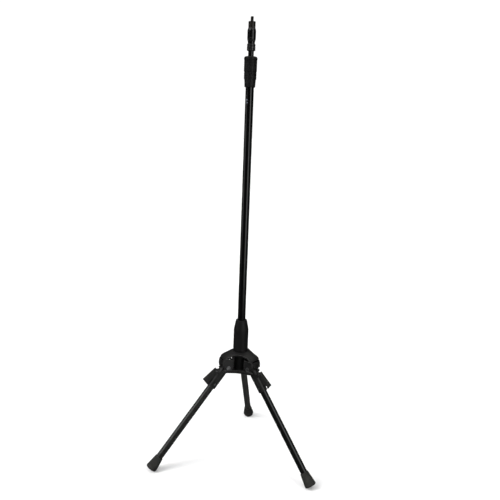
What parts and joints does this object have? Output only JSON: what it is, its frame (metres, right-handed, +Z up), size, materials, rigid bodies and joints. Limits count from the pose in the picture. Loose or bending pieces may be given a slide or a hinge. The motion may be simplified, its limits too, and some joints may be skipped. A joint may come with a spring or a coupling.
{
  "type": "microphone stand",
  "caption": "Floor-standing telescopic microphone stand: folding tripod base with release levers, twist clutch, quick-release coupler and a threaded stud on top.",
  "frame": {"origin": "on the mast axis at floor level", "axes": "+Z up along the mast; +Y along the rear leg; +X to the right as seen from the front, between the two front legs' sides"},
  "size_m": [0.5474, 0.4791, 1.4308],
  "materials": {
    "black_casting": "semi-gloss black paint over a die casting",
    "black_tube": "satin black paint",
    "leg_paint": "gloss black paint",
    "black_steel": "black oxide, satin",
    "bronzed_steel": "worn black oxide, slightly brown",
    "zinc_steel": "dull zinc",
    "spring_steel": "bright drawn wire",
    "black_plastic": "moulded, fine grain",
    "grip_plastic": "moulded, matt",
    "lever_plastic": "moulded, matt",
    "sleeve_plastic": "soft rubber sleeve, matt",
    "wiper_rubber": "felt-like rubber ring",
    "nylon": "natural nylon",
    "foot_rubber": "grained rubber, dusty"
  },
  "bodies": {
    "base": {"hub_casting": "black_casting", "hub_cover": "black_casting", "cover_screws": "zinc_steel", "pivot_pins": "zinc_steel", "base_plug": "black_plastic", "lower_sleeve": "sleeve_plastic", "outer_tube": "black_tube", "tube_bolt": "zinc_steel", "clutch_collar": "black_plastic", "clutch_collet": "nylon"},
    "grip": {"clutch_grip": "grip_plastic", "dust_wiper": "wiper_rubber"},
    "bush": {"guide_bush": "nylon"},
    "mast": {"inner_tube": "black_tube", "tube_plug": "black_plastic", "stop_ring": "zinc_steel", "coupler_core": "black_steel", "coupler_balls": "spring_steel", "snap_ring": "spring_steel", "coupler_spring": "spring_steel"},
    "coupler": {"coupler_sleeve": "black_steel"},
    "adapter": {"stud_adapter": "bronzed_steel", "threaded_stud": "bronzed_steel"},
    "leg_rear": {"leg_socket_rear": "black_casting", "leg_tube_rear": "leg_paint", "leg_rivet_rear": "zinc_steel", "foot_cap_rear": "foot_rubber", "lever_pin_rear": "zinc_steel", "lever_spring_rear": "spring_steel"},
    "lever_rear": {"release_lever_rear": "lever_plastic"},
    "leg_left": {"leg_socket_left": "black_casting", "leg_tube_left": "leg_paint", "leg_rivet_left": "zinc_steel", "foot_cap_left": "foot_rubber", "lever_pin_left": "zinc_steel", "lever_spring_left": "spring_steel"},
    "lever_left": {"release_lever_left": "lever_plastic"},
    "leg_right": {"leg_socket_right": "black_casting", "leg_tube_right": "leg_paint", "leg_rivet_right": "zinc_steel", "foot_cap_right": "foot_rubber", "lever_pin_right": "zinc_steel", "lever_spring_right": "spring_steel"},
    "lever_right": {"release_lever_right": "lever_plastic"}
  },
  "joints": [
    {"name": "clutch_turn", "type": "hinge", "parent": "base", "child": "grip", "pos_m": [0, 0, 1.2501], "axis": [0, 0, 1], "range_deg": [0, 120]},
    {"name": "mast_slide", "type": "slide", "parent": "base", "child": "bush", "axis": [0, 0, 1], "range_m": [-0.012, 0.6]},
    {"name": "mast_turn", "type": "hinge", "parent": "bush", "child": "mast", "pos_m": [0, 0, 1.3], "axis": [0, 0, 1], "continuous": true},
    {"name": "coupler_release", "type": "slide", "parent": "mast", "child": "coupler", "axis": [0, 0, -1], "range_m": [0, 0.005], "stiffness_N_per_m": 1200, "springref_m": -0.004, "deforming": ["coupler_spring"]},
    {"name": "adapter_lift", "type": "slide", "parent": "mast", "child": "adapter", "axis": [0, 0, 1], "range_m": [0, 0.03]},
    {"name": "leg_rear_fold", "type": "hinge", "parent": "base", "child": "leg_rear", "pos_m": [0, 0.049, 0.3341], "axis": [-1, 0, 0], "range_deg": [0, 37.7]},
    {"name": "lever_rear_press", "type": "hinge", "parent": "leg_rear", "child": "lever_rear", "pos_m": [0, 0.08418, 0.32211], "axis": [-1, 0, 0], "range_deg": [0, 4.3], "stiffness_Nm_per_rad": 2, "springref_deg": -6.88, "deforming": ["lever_spring_rear"]},
    {"name": "leg_left_fold", "type": "hinge", "parent": "base", "child": "leg_left", "pos_m": [-0.04244, -0.0245, 0.3341], "axis": [0.5, -0.866, 0], "range_deg": [0, 37.7]},
    {"name": "lever_left_press", "type": "hinge", "parent": "leg_left", "child": "lever_left", "pos_m": [-0.0729, -0.04209, 0.32211], "axis": [0.5, -0.866, 0], "range_deg": [0, 4.3], "stiffness_Nm_per_rad": 2, "springref_deg": -6.88, "deforming": ["lever_spring_left"]},
    {"name": "leg_right_fold", "type": "hinge", "parent": "base", "child": "leg_right", "pos_m": [0.04244, -0.0245, 0.3341], "axis": [0.5, 0.866, 0], "range_deg": [0, 37.7]},
    {"name": "lever_right_press", "type": "hinge", "parent": "leg_right", "child": "lever_right", "pos_m": [0.0729, -0.04209, 0.32211], "axis": [0.5, 0.866, 0], "range_deg": [0, 4.3], "stiffness_Nm_per_rad": 2, "springref_deg": -6.88, "deforming": ["lever_spring_right"]}
  ]
}
